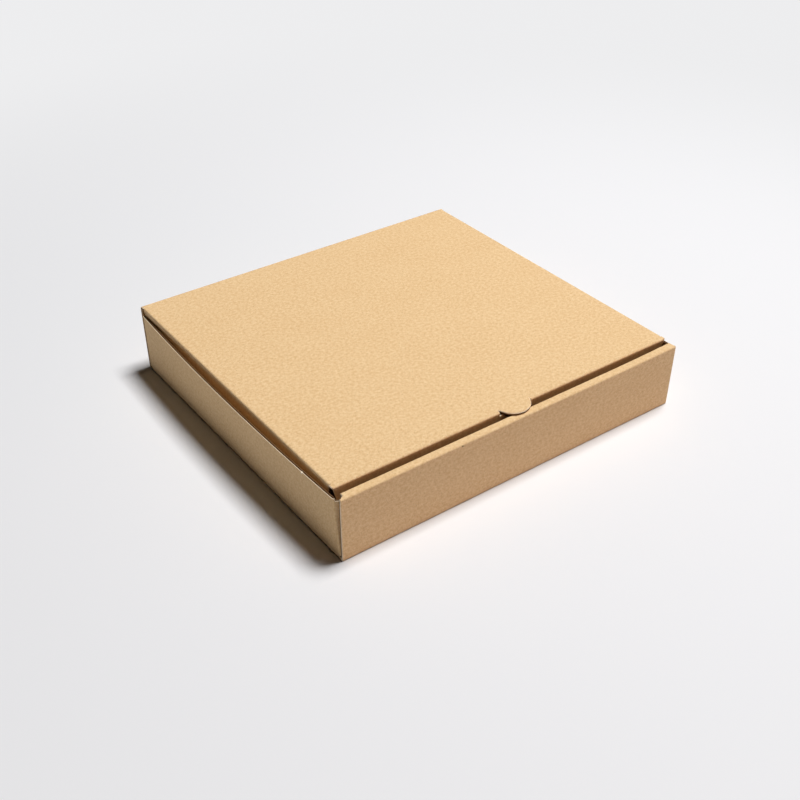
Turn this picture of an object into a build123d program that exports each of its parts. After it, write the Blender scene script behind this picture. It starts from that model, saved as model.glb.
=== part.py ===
from build123d import *
import os
from math import asin, cos, degrees, radians, sqrt, tan

# Pizza box folded from one sheet of kraft board, closed and standing on its base.
# The frame has +X to the right, +Y to the rear and +Z up.
# Its origin is on the table, under the middle of the base.
# The sheet is parted only at the crease where the lid swings, along the top of the rear wall.
os.makedirs("parts", exist_ok=True)

# Board and creases
board = 1.5
crease_radius = 1.1
layer_gap = 0.55
crease_gap = 0.15

# Tray, measured over the outside
tray_width = 254.0
tray_depth = 242.0
front_width = 253.6
front_height = 44.3
front_lean = 1.0
rear_width = 253.2
rear_height = 47.8
side_height = 43.0

# Side walls, and how far their top edges stand out past the base
side_crease_top = 2.5
left_lean_front = 1.8
left_lean_rear = 0.6
left_bow = 3.0
right_lean_front = 0.9
right_lean_rear = 0.6
right_bow = 1.2

# Corner flaps folded in from the side walls
front_flap_length = 70.0
front_flap_top = 41.0
rear_flap_length = 62.0
rear_flap_top = 42.0
corner_flap_chamfer = 9.0
ridge_clearance = 0.3

# Inner panel of the front wall, with the tabs that lock it into the base
ridge_taper_left = 3.0
ridge_taper_right = 0.5
inner_lift = 0.6
lock_tab_width = 38.0
lock_tab_spread = 124.0
lock_clearance = 0.6
lock_recess = 0.3

# Lid
lid_width = 252.4
lid_front_gap = 3.4
tuck_width = 251.0
tuck_height = 36.0
tuck_lean = 2.0
tuck_taper = 9.0
dust_height = 35.0
dust_lean = 4.0
dust_front_setback = 3.6
dust_rear_setback = 2.5
dust_taper = 11.0
flap_corner_radius = 5.0

# Thumb tab, left in the plane of the lid when its front flap is folded down
thumb_radius = 11.7
thumb_reach = 7.0
thumb_offset = 2.0
thumb_clearance = 0.5
thumb_slit = 0.7
thumb_slit_depth = 2.0
thumb_slit_height = 1.7

# Places that follow from the sizes above
half_width = tray_width / 2
half_depth = tray_depth / 2
front_slope = front_lean / front_height
ridge_width = 3 * board + 2 * layer_gap
inner_face = ridge_width - half_depth
flap_face = half_depth - board - layer_gap
side_crease_end = flap_face - crease_radius
crease_setback = crease_radius * (1 - cos(radians(45)))
hinge_y = half_depth - crease_setback
hinge_z = rear_height - crease_setback
lid_reach = hinge_y - (inner_face - front_lean + lid_front_gap)
lid_fall = rear_height - board - front_height - thumb_clearance
lid_tilt = degrees(asin(lid_fall / (lid_reach + thumb_reach)))
thumb_back = thumb_radius - thumb_reach
past = 10.0


def inset(points):
    """Move a line of points to its left by one thickness of board."""
    corners = [Vector(*point) for point in points]
    runs = [(after - before).normalized() for before, after in zip(corners, corners[1:])]
    sides = [Vector(-run.Y, run.X) for run in runs]
    mitres = [(one + two) / (1 + one.dot(two)) for one, two in zip(sides, sides[1:])]
    return [corner + board * move for corner, move in zip(corners, [sides[0], *mitres, sides[-1]])]


def board_strip(*points):
    """Draw one thickness of board whose outer face follows the points, creased at each corner.

    The board lies to the left of the way in which the points run. Inside a crease it is pressed sharp.
    """
    with BuildLine() as strip:
        outer = FilletPolyline(*points, radius=crease_radius)
        inner = Polyline(*inset(points))
        Line(outer @ 0, inner @ 0)
        Line(outer @ 1, inner @ 1)
    make_face(strip.edges())


def flap_trim(start, end, top):
    """Draw what is cut off a corner flap above its top edge and past its end."""
    with BuildLine() as trim:
        Polyline(
            (start, side_height + past),
            (start, top),
            (end - corner_flap_chamfer, top),
            (end, top - corner_flap_chamfer),
            (end, side_crease_top + corner_flap_chamfer / 2),
            (end - corner_flap_chamfer / 2, side_crease_top),
            (end - corner_flap_chamfer / 2, side_crease_top - past),
            (end + past, side_crease_top - past),
            (end + past, side_height + past),
            close=True,
        )
    make_face(trim.edges())


# Side walls, each drawn as the left one
front_flap_end = front_flap_length - half_width
rear_flap_end = rear_flap_length - half_width
low_front = -flap_face - front_slope * side_crease_top
top_front = -flap_face - front_slope * side_height


def side_wall(lean_front, lean_rear, bow):
    """Build a side wall with its two corner flaps, bowed out between them along its top edge."""
    top_front_x = -half_width - lean_front
    top_rear_x = -half_width - lean_rear
    top_middle_x = (top_front_x + top_rear_x) / 2 - bow
    with BuildPart() as wall:
        with BuildSketch(Plane.XY.offset(side_crease_top)):
            board_strip(
                (rear_flap_end, flap_face),
                (-half_width, flap_face),
                (-half_width, low_front),
                (front_flap_end, low_front),
            )
        with BuildSketch(Plane.XY.offset(side_height)):
            with BuildLine() as top_line:
                Line((rear_flap_end, flap_face), (top_rear_x, flap_face))
                ThreePointArc((top_rear_x, flap_face), (top_middle_x, 0), (top_front_x, top_front))
                Line((top_front_x, top_front), (front_flap_end, top_front))
                fillet(top_line.vertices().sort_by(Axis.X)[0:2], radius=crease_radius)
                offset(amount=board, side=Side.LEFT)
            make_face()
        loft(ruled=True)
        with BuildSketch(Plane.XZ.offset(half_depth - past)):
            flap_trim(-front_width / 2 - ridge_clearance, front_flap_end, front_flap_top)
        extrude(amount=2 * past, mode=Mode.SUBTRACT)
        with BuildSketch(Plane.XZ.offset(-half_depth - past)):
            flap_trim(-half_width + crease_radius, rear_flap_end, rear_flap_top)
        extrude(amount=2 * past, mode=Mode.SUBTRACT)
    return wall.part


# Front wall: outer panel, ridge and inner panel rolled over the corner flaps
with BuildPart() as front_wall:
    with BuildSketch(Plane.YZ):
        board_strip(
            (inner_face - front_slope * (board + inner_lift), board + inner_lift),
            (inner_face - front_lean, front_height),
            (-half_depth - front_lean, front_height),
            (-half_depth, 0),
            (-side_crease_end, 0),
        )
    extrude(amount=front_width / 2, both=True)
    for side, taper in ((-1, ridge_taper_left), (1, ridge_taper_right)):
        with BuildSketch(Plane.XY.offset(board)):
            Polygon(
                (side * front_width / 2, board - half_depth - front_slope * board),
                (side * (front_width / 2 + past), board - half_depth - front_slope * board),
                (side * (front_width / 2 + past), inner_face + past),
                (side * (front_width / 2 - taper), inner_face + past),
                (side * (front_width / 2 - taper), inner_face - board - front_slope * board),
                align=None,
            )
        extrude(amount=front_height, dir=(0, -front_lean, front_height), mode=Mode.SUBTRACT)

# Lock tabs on the inner panel's lower edge
with BuildPart() as lock_tabs:
    with BuildSketch(Plane.YZ):
        Polygon(
            (inner_face - front_slope * lock_recess, lock_recess),
            (inner_face - front_slope * (board + inner_lift), board + inner_lift),
            (inner_face - front_slope * (board + inner_lift) - board, board + inner_lift),
            (inner_face - front_slope * lock_recess - board, lock_recess),
            align=None,
        )
    extrude(amount=lock_tab_width / 2, both=True)

# Tray
with BuildPart() as tray:
    with BuildSketch(Plane.XZ):
        board_strip(
            (-half_width, side_crease_top),
            (-half_width, 0),
            (half_width, 0),
            (half_width, side_crease_top),
        )
    extrude(amount=side_crease_end, both=True)
    with BuildSketch(Plane.YZ):
        board_strip(
            (side_crease_end, 0),
            (half_depth, 0),
            (half_depth, rear_height),
            (half_depth - past / 2, rear_height),
        )
        Polygon(
            (half_depth + past, rear_height + past),
            (half_depth - past, rear_height + past),
            (half_depth - past, rear_height - past),
            align=None,
            mode=Mode.SUBTRACT,
        )
    extrude(amount=rear_width / 2, both=True)
    with BuildSketch():
        with GridLocations(lock_tab_spread, 0, 2, 1):
            with Locations((0, inner_face - board / 2)):
                Rectangle(lock_tab_width + 2 * lock_clearance, board + 2 * lock_clearance)
    extrude(amount=board, mode=Mode.SUBTRACT)
    add(front_wall.part)
    with GridLocations(lock_tab_spread, 0, 2, 1):
        add(lock_tabs.part)
    add(side_wall(left_lean_front, left_lean_rear, left_bow))
    mirror(side_wall(right_lean_front, right_lean_rear, right_bow), about=Plane.YZ)

tray.part.label = "tray"
export_step(tray.part, "parts/tray.step")

# Lid parts, drawn level with the hinge line as their origin
lid_half = lid_width / 2
tuck_run = tuck_height * tan(radians(tuck_lean))
dust_run = dust_height * tan(radians(dust_lean))
mitre_gap = crease_gap * sqrt(2)
top_face = crease_setback
with BuildPart() as lid_top:
    with BuildSketch(Plane.YZ):
        board_strip(
            (top_face, -past / 2),
            (top_face, top_face),
            (-lid_reach, top_face),
            (-lid_reach, -past / 2),
        )
        Polygon(
            (past, past + mitre_gap),
            (-past, -past + mitre_gap),
            (past, -past + mitre_gap),
            align=None,
            mode=Mode.SUBTRACT,
        )
        with Locations((-lid_reach / 2, top_face - board)):
            Rectangle(2 * lid_reach, past, align=(Align.CENTER, Align.MAX), mode=Mode.SUBTRACT)
    extrude(amount=lid_half, both=True)
    with BuildSketch(Plane.XZ.offset(-past)):
        with Locations((lid_half, top_face)):
            Rectangle(2 * crease_radius, 2 * crease_radius)
        with Locations((lid_half - crease_radius, top_face - crease_radius)):
            Circle(crease_radius, mode=Mode.SUBTRACT)
        mirror(about=Plane.YZ)
    extrude(amount=lid_reach + 2 * past, mode=Mode.SUBTRACT)

with BuildPart() as tuck_flap:
    with BuildSketch(Plane.YZ):
        board_strip(
            (past - lid_reach, top_face),
            (-lid_reach, top_face),
            (-lid_reach + tuck_run, top_face - tuck_height),
        )
    extrude(amount=lid_half, both=True)
    with BuildSketch(Plane.XZ) as tuck_outline:
        with BuildLine():
            Polyline(
                (-tuck_width / 2, top_face),
                (tuck_width / 2, top_face),
                (tuck_width / 2 - tuck_taper, top_face - tuck_height),
                (-tuck_width / 2 + tuck_taper, top_face - tuck_height),
                close=True,
            )
        make_face()
        fillet(tuck_outline.vertices().group_by(Axis.Y)[0], radius=flap_corner_radius)
    extrude(amount=lid_reach + past, mode=Mode.INTERSECT)

with BuildPart() as dust_flaps:
    with BuildSketch(Plane.XZ):
        board_strip(
            (lid_half - dust_run, top_face - dust_height),
            (lid_half, top_face),
            (-lid_half, top_face),
            (-lid_half + dust_run, top_face - dust_height),
        )
    extrude(amount=lid_reach + past, both=True)
    with BuildSketch(Plane.YZ.offset(-lid_half)) as dust_outline:
        with BuildLine():
            Polyline(
                (dust_front_setback - lid_reach, top_face),
                (-dust_rear_setback, top_face),
                (-dust_rear_setback - dust_taper, top_face - dust_height),
                (dust_front_setback - lid_reach + dust_taper, top_face - dust_height),
                close=True,
            )
        make_face()
        fillet(dust_outline.vertices().group_by(Axis.Y)[0], radius=flap_corner_radius)
    extrude(amount=lid_width, mode=Mode.INTERSECT)

# Lid, sunk towards the front until its thumb tab is just over the ridge
thumb_half = sqrt(thumb_radius**2 - thumb_back**2)
with BuildPart() as level_lid:
    add(lid_top.part)
    add(tuck_flap.part)
    add(dust_flaps.part)
    with BuildSketch(Plane.XZ.offset(lid_reach - thumb_slit_depth)):
        with Locations((thumb_offset, top_face + thumb_back)):
            Circle(thumb_radius)
        with Locations((thumb_offset, top_face)):
            Rectangle(2 * (thumb_half + thumb_slit), 2 * thumb_slit_height)
    extrude(amount=past, mode=Mode.SUBTRACT)
    with BuildSketch(Plane.XY.offset(top_face - board)):
        with Locations((thumb_offset, thumb_back - lid_reach)):
            Circle(thumb_radius)
        with Locations((thumb_offset, thumb_slit_depth - lid_reach)):
            Rectangle(4 * thumb_radius, 4 * thumb_radius, align=(Align.CENTER, Align.MIN), mode=Mode.SUBTRACT)
    extrude(amount=board)

with BuildPart() as lid:
    with Locations(Location((0, hinge_y, hinge_z), (lid_tilt, 0, 0))):
        add(level_lid.part)

lid.part.label = "lid"
export_step(lid.part, "parts/lid.step")
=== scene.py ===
"""A closed pizza box, folded from one die-cut sheet of fluted kraft board.

Each half of the sheet is drawn flat as a die-cut outline, cut into triangles along its folds and
laid round the folds. Two paper liners and the fluted paper between them are made that way, so that
every cut edge shows the flutes. Sizes are in metres. In the flat sheet u runs along the flutes, from
side to side, and v across them, from the front to the rear.
"""

import logging
import math
from collections.abc import Sequence
from dataclasses import dataclass, field
from enum import Enum

import bpy
import numpy as np
from mathutils import Matrix, Vector
from mathutils.geometry import delaunay_2d_cdt


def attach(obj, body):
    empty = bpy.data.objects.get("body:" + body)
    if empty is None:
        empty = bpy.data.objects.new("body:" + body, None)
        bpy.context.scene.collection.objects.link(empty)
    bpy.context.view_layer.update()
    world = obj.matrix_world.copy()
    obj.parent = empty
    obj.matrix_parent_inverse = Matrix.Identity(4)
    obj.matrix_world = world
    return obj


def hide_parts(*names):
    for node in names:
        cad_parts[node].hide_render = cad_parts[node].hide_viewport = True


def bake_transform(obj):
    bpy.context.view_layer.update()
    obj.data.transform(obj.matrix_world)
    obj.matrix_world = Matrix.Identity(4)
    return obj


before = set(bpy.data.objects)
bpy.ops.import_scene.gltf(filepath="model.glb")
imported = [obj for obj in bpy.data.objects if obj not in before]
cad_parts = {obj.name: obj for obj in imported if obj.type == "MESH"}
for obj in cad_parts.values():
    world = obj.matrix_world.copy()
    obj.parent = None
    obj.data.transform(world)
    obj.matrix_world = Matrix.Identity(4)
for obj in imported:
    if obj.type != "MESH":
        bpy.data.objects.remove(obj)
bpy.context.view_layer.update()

LOG = logging.getLogger("pizza_box")
SHEET_LAYER = "blank"
WORN_LAYER = "worn"
SMOOTH_ANGLE = math.radians(35)

FOLD_STEPS = 6
FOLD_MARGIN = 0.0003
TINY = 1e-12

Pair = tuple[float, float]
Loop = list[Pair]
Array = np.ndarray
Colour = tuple[float, float, float, float]
Material = bpy.types.Material
Node = bpy.types.Node
Object = bpy.types.Object
Socket = bpy.types.NodeSocket


def srgb(red: int, green: int, blue: int) -> Colour:
    """Return a screen colour of 0 to 255 as the linear colour that a shader takes."""
    linear = [((c / 255 + 0.055) / 1.055) ** 2.4 if c > 10 else c / 255 / 12.92 for c in (red, green, blue)]
    return (linear[0], linear[1], linear[2], 1.0)


@dataclass(frozen=True)
class Board:
    """Fluted board: an outer and an inner liner, with fluted paper glued between them.

    Where the cutting rule crushed an edge, the outer liner's two faces sink by outer_crush and outer_close,
    and the inner liner's hidden face rises by inner_close, all shares of the thickness. The flutes end
    flute_setback short of every cut edge.
    """

    thickness: float = 0.0015
    liner: float = 0.00024
    medium: float = 0.00016
    pitch: float = 0.0032
    steps_per_flute: int = 8
    crease_radius: float = 0.0011
    pressed_radius: float = 0.00004
    crease_gap: float = 0.00015
    layer_gap: float = 0.00055
    outer_crush: float = 0.22
    outer_close: float = 0.36
    inner_close: float = 0.12
    flute_setback: float = 0.0002


class Profile:
    """A folded line in a plane: straight runs joined by round folds, followed by its length."""

    def __init__(self, corners: Sequence[Pair], radius: float) -> None:
        """Lay the runs and folds end to end.

        Args:
            corners: Points where the runs would meet if the folds were sharp.
            radius: Outer radius of each fold.
        """
        points = np.array(corners, float)
        runs = np.diff(points, axis=0)
        lengths = np.linalg.norm(runs, axis=1)
        headings = np.arctan2(runs[:, 1], runs[:, 0])
        turns = (np.diff(headings) + math.pi) % (2 * math.pi) - math.pi
        trims = [0.0, *(radius * np.tan(abs(turns) / 2)), 0.0]
        self.folds: list[Pair] = []
        pieces = []
        along = 0.0
        for run, length in enumerate(lengths):
            way = np.array([math.cos(headings[run]), math.sin(headings[run])])
            pieces.append((along, *(points[run] + way * trims[run]), headings[run], 0.0))
            along += length - trims[run] - trims[run + 1]
            if run < len(turns):
                curvature = math.copysign(1 / radius, turns[run])
                pieces.append((along, *(points[run + 1] - way * trims[run + 1]), headings[run], curvature))
                self.folds.append((along, along + abs(turns[run]) * radius))
                along = self.folds[-1][1]
        self.length = along
        self.marks = [0.0, *[end for fold in self.folds for end in fold], along]
        self._pieces = np.array(pieces)

    def at(self, along: Array) -> Array:
        """Return the points at these lengths along the line, carried on straight past its ends."""
        piece = np.clip(np.searchsorted(self._pieces[:, 0], along, "right") - 1, 0, len(self._pieces) - 1)
        first, x, y, start, curvature = self._pieces[piece].T
        run = along - first
        end = start + curvature * run
        curved = curvature != 0
        safe = np.where(curved, curvature, 1.0)
        across = np.where(curved, (np.sin(end) - np.sin(start)) / safe, np.cos(start) * run)
        up = np.where(curved, (np.cos(start) - np.cos(end)) / safe, np.sin(start) * run)
        return np.stack([x + across, y + up], 1)


def around(loop: Sequence) -> list[tuple]:
    """Pair each item of a closed loop with the next."""
    return list(zip(loop, [*loop[1:], loop[0]]))


def ways(starts: Array, ends: Array) -> tuple[Array, Array]:
    """Return the unit way from each start to its end, and the unit way to the left of it."""
    runs = (ends - starts) / np.linalg.norm(ends - starts, axis=1)[:, None]
    return runs, np.stack([-runs[:, 1], runs[:, 0]], 1)


def inset(corners: Sequence[Pair], amount: float) -> Loop:
    """Move a line of points to its left, or to its right where the amount is negative."""
    points = np.array(corners, float)
    _, sides = ways(points[:-1], points[1:])
    facing = 1 + (sides[:-1] * sides[1:]).sum(1)
    mitres = (sides[:-1] + sides[1:]) / facing[:, None]
    moves = np.concatenate([sides[:1], mitres, sides[-1:]])
    return [(x, y) for x, y in points + moves * amount]


class Fold:
    """Board folded along parallel creases and seen on edge, with an outer and an inner face."""

    def __init__(self, corners: Sequence[Pair], board: Board, side: int) -> None:
        """Work out both faces.

        Args:
            corners: Points where the outer face would turn if its creases were sharp.
            board: The board.
            side: 1 where the board lies to the left of the way in which the corners run, or -1.
        """
        self.outer = Profile(corners, board.crease_radius)
        self.inner = Profile(inset(corners, side * board.thickness), board.pressed_radius)
        self.folds, self.length, self.marks = self.outer.folds, self.outer.length, self.outer.marks

    def at(self, along: Array, depth: Array) -> Array:
        """Return points of the board.

        Args:
            along: Lengths along the outer face.
            depth: How far through the board each point lies, from 0 at the outer face to 1 at the inner.

        Returns:
            The points, one a row.
        """
        outer = self.outer.at(along)
        inner = self.inner.at(np.interp(along, self.outer.marks, self.inner.marks))
        return outer + (inner - outer) * depth[:, None]


def rounded(corners: Sequence[tuple[float, ...]], steps: int = 6) -> Loop:
    """Round the corners of an outline.

    Args:
        corners: Points of the outline, each with the radius of its corner if it is round.
        steps: Number of chords in each round corner.

    Returns:
        The points of the rounded outline.
    """
    loop: Loop = []
    for before, here, after in zip([corners[-1], *corners[:-1]], corners, [*corners[1:], corners[0]]):
        corner = np.array(here[:2])
        if len(here) == 2:
            loop.append((corner[0], corner[1]))
            continue
        back = np.array(before[:2]) - corner
        on = np.array(after[:2]) - corner
        back, on = back / np.linalg.norm(back), on / np.linalg.norm(on)
        half = math.acos(np.clip(back @ on, -1, 1)) / 2
        middle = corner + (back + on) / np.linalg.norm(back + on) * here[2] / math.sin(half)
        first = corner + back * here[2] / math.tan(half) - middle
        sweep = math.pi - 2 * half
        sense = math.copysign(1.0, back[0] * on[1] - back[1] * on[0])
        for step in range(steps + 1):
            turn = -sense * sweep * step / steps
            cos, sin = math.cos(turn), math.sin(turn)
            point = middle + (first[0] * cos - first[1] * sin, first[0] * sin + first[1] * cos)
            loop.append((point[0], point[1]))
    return loop


def fold_rows(low: float, high: float) -> list[float]:
    """Return places across a fold, with one on either side that keeps the bend from shading the panels."""
    return [low - FOLD_MARGIN, *steps_between(low, high, FOLD_STEPS), high + FOLD_MARGIN]


def steps_between(low: float, high: float, count: int) -> list[float]:
    """Return both ends of a range and the places that divide it into equal steps."""
    return [low + (high - low) * step / count for step in range(count + 1)]


def inside(points: Array, loops: Sequence[Loop]) -> Array:
    """Tell which points lie within the outline and outside its holes.

    Args:
        points: Array of points, one a row.
        loops: The outline and its holes.

    Returns:
        One truth value a point.
    """
    within = np.zeros(len(points), bool)
    for loop in loops:
        for (u0, v0), (u1, v1) in around(loop):
            if v0 == v1:
                continue
            spans = (points[:, 1] < v0) != (points[:, 1] < v1)
            within ^= spans & (points[:, 0] < u0 + (points[:, 1] - v0) * (u1 - u0) / (v1 - v0))
    return within


def distance_to(loops: Sequence[Loop], points: Array) -> Array:
    """Return how far each point is from the nearest edge of the loops."""
    nearest = np.full(len(points), np.inf)
    for loop in loops:
        for start, end in around(loop):
            first, run = np.array(start), np.array(end) - np.array(start)
            share = np.clip((points - first) @ run / max(run @ run, TINY), 0, 1)
            nearest = np.minimum(nearest, np.linalg.norm(points - first - share[:, None] * run, axis=1))
    return nearest


@dataclass
class FlatMesh:
    """Corners and faces of a mesh that lies in the flat sheet."""

    corners: Array
    faces: list[tuple[int, ...]]

    def rim(self) -> list[tuple[int, int]]:
        """Return the edges that only one face has, in that face's direction."""
        edges = {edge for face in self.faces for edge in around(face)}
        return sorted(edge for edge in edges if edge[::-1] not in edges)


@dataclass
class Blank:
    """Die-cut outline of one half of the sheet, with its holes and the lines that need a row of corners."""

    outline: Loop
    holes: list[Loop]
    lines: list[tuple[Pair, Pair]]
    breaks: list[float]

    CUT_SCALE = 1000.0
    CUT_EPSILON = 1e-5
    SLANT_LIMIT = 0.002
    SHORTEST = 1e-7
    PLACES_A_METRE = 1e8
    WORN_WIDTH = 0.0004
    RING = ((-1, -1), (1, -1), (1, 1), (-1, 1))

    def loops(self) -> list[Loop]:
        """Return the outline and the holes together."""
        return [self.outline, *self.holes]

    def worn(self, points: Array) -> Array:
        """Return how worn each point is, from 1 on a cut edge to 0 a little way in."""
        return np.clip(1 - distance_to(self.loops(), points) / self.WORN_WIDTH, 0, 1)

    def _worn_lines(self) -> list[tuple[Pair, Pair]]:
        """Return lines that run inside every cut edge and round its corners, where its wear ends."""
        lines = []
        for number, loop in enumerate(self.loops()):
            points = np.array(loop)
            after = np.roll(points, -1, axis=0)
            turn = np.sign((points[:, 0] * after[:, 1] - after[:, 0] * points[:, 1]).sum())
            runs, sides = ways(points, after)
            sides = sides * turn * (1 if number == 0 else -1)
            starts = points + (sides - runs) * self.WORN_WIDTH
            ends = after + (sides + runs) * self.WORN_WIDTH
            lines += [(tuple(start), tuple(end)) for start, end in zip(starts, ends)]
            for u, v in loop:
                lines += around([(u + a * self.WORN_WIDTH, v + b * self.WORN_WIDTH) for a, b in self.RING])
        return lines

    def panel(self) -> FlatMesh:
        """Cut the blank into triangles along its lines."""
        points: Loop = []
        edges = []
        for loop in self.loops():
            first = len(points)
            points += loop
            edges += [(first + i, first + (i + 1) % len(loop)) for i in range(len(loop))]
        for start, end in [*self.lines, *self._worn_lines()]:
            edges.append((len(points), len(points) + 1))
            points += [start, end]
        scaled = [Vector(point) * self.CUT_SCALE for point in points]
        cut = delaunay_2d_cdt(scaled, edges, [], 0, self.CUT_EPSILON, False)
        corners = np.array([tuple(corner) for corner in cut[0]]) / self.CUT_SCALE
        faces = np.array(cut[2])
        keep = inside(corners[faces].mean(1), self.loops())
        used, renumbered = np.unique(faces[keep], return_inverse=True)
        return FlatMesh(corners[used], [tuple(face) for face in renumbered.reshape(-1, 3).tolist()])

    def rows(self, board: Board) -> FlatMesh:
        """Divide the blank into narrow rows, a few to each flute."""
        low, high = min(v for _, v in self.outline), max(v for _, v in self.outline)
        step = board.pitch / board.steps_per_flute
        places = np.arange(math.ceil(low / step), math.floor(high / step) + 1) * step
        spans = [self._spans(v, board.flute_setback) for v in places]
        known: dict[tuple[int, int], int] = {}
        corners: list[Pair] = []
        faces = []

        def corner(u: float, v: float) -> int:
            """Return the number of the corner at this place."""
            key = (round(u * self.PLACES_A_METRE), round(v * self.PLACES_A_METRE))
            if key not in known:
                known[key] = len(corners)
                corners.append((u, v))
            return known[key]

        for (v0, row0), (v1, row1) in zip(zip(places, spans), zip(places[1:], spans[1:])):
            for a0, b0 in row0:
                for a1, b1 in row1:
                    if min(b0, b1) - max(a0, a1) < self.SLANT_LIMIT:
                        continue
                    lows = (a0, a1) if abs(a0 - a1) < self.SLANT_LIMIT else (max(a0, a1),) * 2
                    highs = (b0, b1) if abs(b0 - b1) < self.SLANT_LIMIT else (min(b0, b1),) * 2
                    for left, right in zip(self.breaks, self.breaks[1:]):
                        near = [(max(lows[k], left), min(highs[k], right)) for k in (0, 1)]
                        if min(b - a for a, b in near) > self.SHORTEST:
                            (a, b), (c, d) = near
                            faces.append((corner(a, v0), corner(b, v0), corner(d, v1), corner(c, v1)))
        return FlatMesh(np.array(corners), faces)

    def _spans(self, v: float, setback: float) -> list[Pair]:
        """Return the stretches of one row that lie within the blank, ending a little short of its edge."""
        crossings = []
        for loop in self.loops():
            for (u0, v0), (u1, v1) in around(loop):
                if (v < v0) != (v < v1):
                    crossings.append(u0 + (v - v0) * (u1 - u0) / (v1 - v0))
        crossings.sort()
        return [(low + setback, high - setback) for low, high in zip(crossings[::2], crossings[1::2])]


def paper_shell(
    name: str, flat: FlatMesh, turn: int, corners: Array, worn: Array, finishes: Sequence[Material]
) -> Object:
    """Make a closed shell of paper that knows where it lies in the flat sheet and how worn it is.

    Args:
        name: The object's name.
        flat: The mesh of one of its sides in the flat sheet.
        turn: 1 where the faces of that mesh look out of the shell on its first side, or -1.
        corners: Corners of the first side, then those of the second.
        worn: Wear of each corner of one side.
        finishes: Its material, and that of its cut edges where it is another.

    Returns:
        The new object.
    """
    count = len(flat.corners)
    faces = [face[::turn] for face in flat.faces]
    faces += [tuple(corner + count for corner in face[::-turn]) for face in flat.faces]
    rim = [(b, a, a + count, b + count)[::turn] for a, b in flat.rim()]
    mesh = bpy.data.meshes.new(name)
    mesh.from_pydata(corners.tolist(), [], [*faces, *rim])
    ends = np.zeros(len(mesh.loops), np.int32)
    mesh.loops.foreach_get("vertex_index", ends)
    places, worn = np.tile(flat.corners, (2, 1))[ends], np.tile(worn, 2)
    mesh.uv_layers.new(name=SHEET_LAYER).data.foreach_set("uv", places.astype(np.float32).ravel())
    mesh.attributes.new(WORN_LAYER, "FLOAT", "POINT").data.foreach_set("value", worn.astype(np.float32))
    mesh.polygons.foreach_set("use_smooth", [True] * len(mesh.polygons))
    mesh.set_sharp_from_angle(angle=SMOOTH_ANGLE)
    for finish in finishes:
        mesh.materials.append(finish)
    mesh.polygons.foreach_set("material_index", [0] * len(faces) + [len(finishes) - 1] * len(rim))
    made = bpy.data.objects.new(name, mesh)
    bpy.context.scene.collection.objects.link(made)
    return made


class Facing(Enum):
    """Which side of the flat sheet its outer liner is on."""

    ABOVE = 1
    BELOW = -1


class FoldedSheet:
    """One half of the sheet: its blank, and where each point of the blank lies once folded."""

    facing: Facing
    blank: Blank

    def crushed(self, points: Array) -> Array:
        """Tell at which points of the blank a cut edge is crushed by the cutting rule."""
        raise NotImplementedError

    def place(self, u: Array, v: Array, depth: Array) -> Array:
        """Fold points of the sheet.

        Args:
            u: Places along the flutes.
            v: Places across the flutes.
            depth: How far through the board each point lies, from 0 at the outer face to 1 at the inner.

        Returns:
            The folded points, one a row.
        """
        raise NotImplementedError

    def paper(self, name: str, flat: FlatMesh, near: Array, far: Array, *finishes: Material) -> Object:
        """Fold one of the board's papers, as a closed shell.

        Args:
            name: The piece's name.
            flat: Its mesh in the flat sheet.
            near: Depth of its outer side within the board at each corner.
            far: Depth of its inner side.
            *finishes: Its material, and that of its cut edges where it is another.

        Returns:
            The new object.
        """
        u, v = flat.corners.T
        corners = np.concatenate([self.place(u, v, near), self.place(u, v, far)])
        return paper_shell(name, flat, self.facing.value, corners, self.blank.worn(flat.corners), finishes)


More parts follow.
